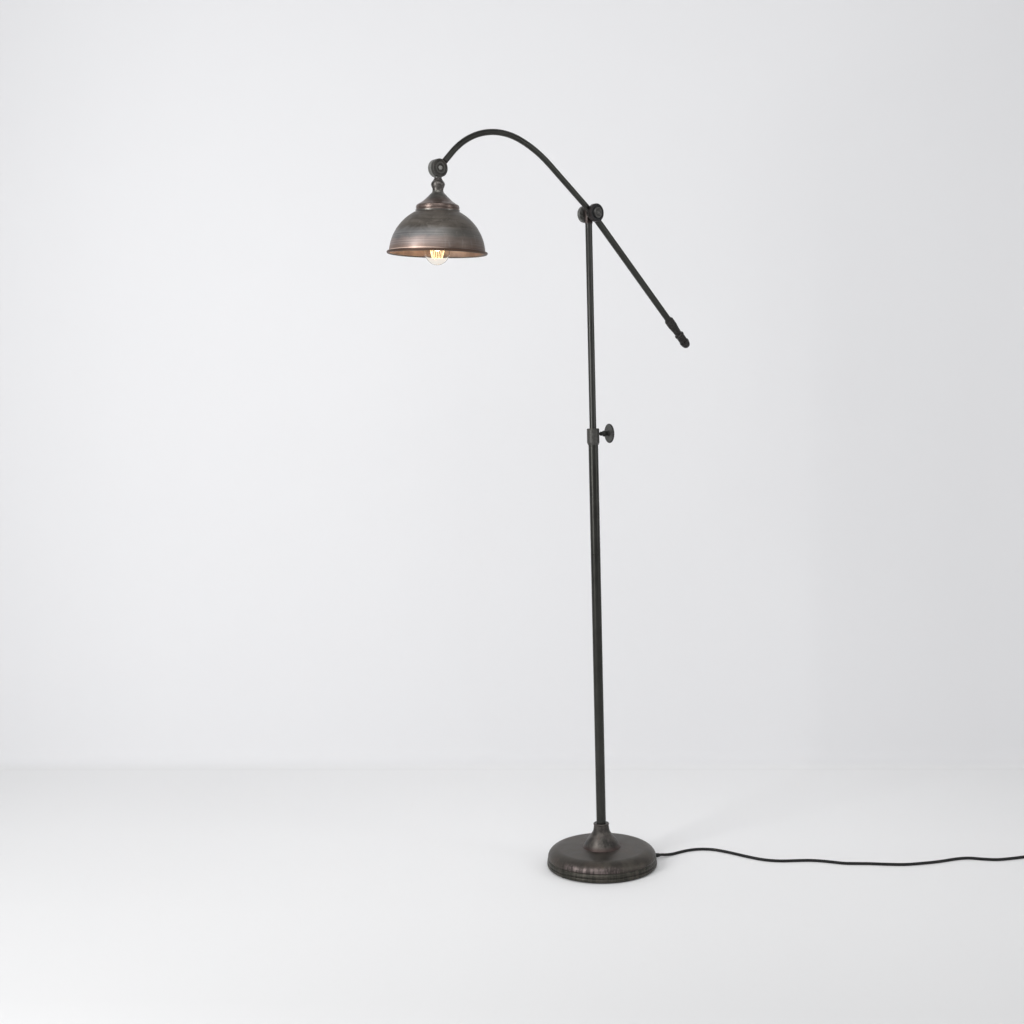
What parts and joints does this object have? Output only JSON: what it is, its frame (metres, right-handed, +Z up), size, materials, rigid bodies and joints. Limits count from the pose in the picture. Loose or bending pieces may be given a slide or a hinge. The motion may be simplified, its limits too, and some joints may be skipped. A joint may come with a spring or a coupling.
{
  "type": "floor lamp",
  "caption": "Bridge floor lamp: weighted round base, telescoping pole with thumb screw, bent arm on a clamped pivot with a straight tail, tilting spun dome shade, lit bulb, cord and plug",
  "frame": {"origin": "centre of the round base on the floor", "axes": "+Z up along the pole; the arm and tail lie in the XZ plane, with the shade toward -X and the tail toward +X"},
  "size_m": [1.4141, 0.9032, 1.6479],
  "materials": {
    "cast_weight": "rough cast",
    "felt": "dense felt",
    "dark_bronze": "aged dark bronze, satin",
    "bronze_tube": "olive bronze, half gloss",
    "red_bronze": "worn reddish bronze",
    "steel": "plain steel",
    "grey_steel": "darkened steel",
    "brass": "plain brass",
    "fibre": "vulcanised fibre",
    "spun_bronze": "gunmetal bronze with patina, cream inside",
    "black_plastic": "moulded black",
    "porcelain": "unglazed",
    "nickel": "nickel plate",
    "bulb_glass": "clear",
    "glow": "lit tungsten",
    "cord_black": "black jacket, half gloss",
    "gland_black": "black bush"
  },
  "bodies": {
    "stand": {"felt_pad": "felt", "base_weight": "cast_weight", "base_cover": "dark_bronze", "base_bell": "dark_bronze", "bell_ring": "dark_bronze", "base_nipple": "brass", "base_washer": "steel", "base_nut": "steel", "cord_gland": "gland_black", "base_lead": "cord_black", "tube_insert": "brass", "lower_tube": "bronze_tube", "clutch_collar": "dark_bronze", "clamp_shoe": "brass", "cord_run": "cord_black", "cord_coil": "cord_black", "plug_body": "black_plastic", "plug_blades": "brass"},
    "thumb_screw": {"clamp_screw": "grey_steel", "clamp_knob": "grey_steel"},
    "guide": {"guide_bush": "brass"},
    "mast": {"bush_clips": "steel", "upper_tube": "bronze_tube", "mast_lead": "cord_black", "pivot_post": "red_bronze", "rear_washer": "fibre", "rear_disc": "grey_steel", "front_washer": "fibre"},
    "front_knob": {"pivot_knob": "grey_steel"},
    "arm": {"pivot_hub": "dark_bronze", "pivot_nut": "steel", "arm_rod": "bronze_tube", "arm_lead": "cord_black", "tail_tube": "bronze_tube", "tail_ferrule": "dark_bronze", "tail_switch": "porcelain", "knuckle_arm": "dark_bronze", "knuckle_screw": "steel", "knuckle_nut": "steel"},
    "switch_knob": {"tail_knob": "dark_bronze"},
    "head": {"knuckle_shade": "dark_bronze", "neck_urn": "dark_bronze", "shade_cap": "spun_bronze", "cap_spacer": "brass", "shade_dome": "spun_bronze", "socket_nipple": "brass", "lock_nut": "steel", "holder_cap": "black_plastic", "lamp_holder": "black_plastic", "insulator": "porcelain", "screw_shell": "brass", "contact_tab": "brass", "bulb_cap": "nickel", "bulb_glass": "bulb_glass", "bulb_stem": "bulb_glass", "filament": "glow"}
  },
  "joints": [
    {"name": "pole_slide", "type": "slide", "parent": "stand", "child": "guide", "axis": [0, 0, 1], "range_m": [-0.3, 0.15]},
    {"name": "pole_swivel", "type": "hinge", "parent": "guide", "child": "mast", "pos_m": [0, 0, 0.9], "axis": [0, 0, 1], "range_deg": [-170, 170]},
    {"name": "thumb_screw_turn", "type": "hinge", "parent": "stand", "child": "thumb_screw", "pos_m": [0.02898, -0.00776, 0.9995], "axis": [0.9659, -0.2588, 0], "range_deg": [-90, 360]},
    {"name": "arm_pivot", "type": "hinge", "parent": "mast", "child": "arm", "pos_m": [0, -0.012, 1.489], "axis": [0, 1, 0], "range_deg": [-25, 20]},
    {"name": "front_knob_turn", "type": "hinge", "parent": "arm", "child": "front_knob", "pos_m": [0, -0.024, 1.489], "axis": [0, 1, 0], "range_deg": [-90, 360]},
    {"name": "switch_turn", "type": "hinge", "parent": "arm", "child": "switch_knob", "pos_m": [0.28339, -0.012, 1.20954], "axis": [0.712, 0, -0.7022], "range_deg": [0, 90]},
    {"name": "shade_tilt", "type": "hinge", "parent": "arm", "child": "head", "pos_m": [-0.42023, -0.0086, 1.55674], "axis": [0, 1, 0], "range_deg": [-50, 60]}
  ]
}
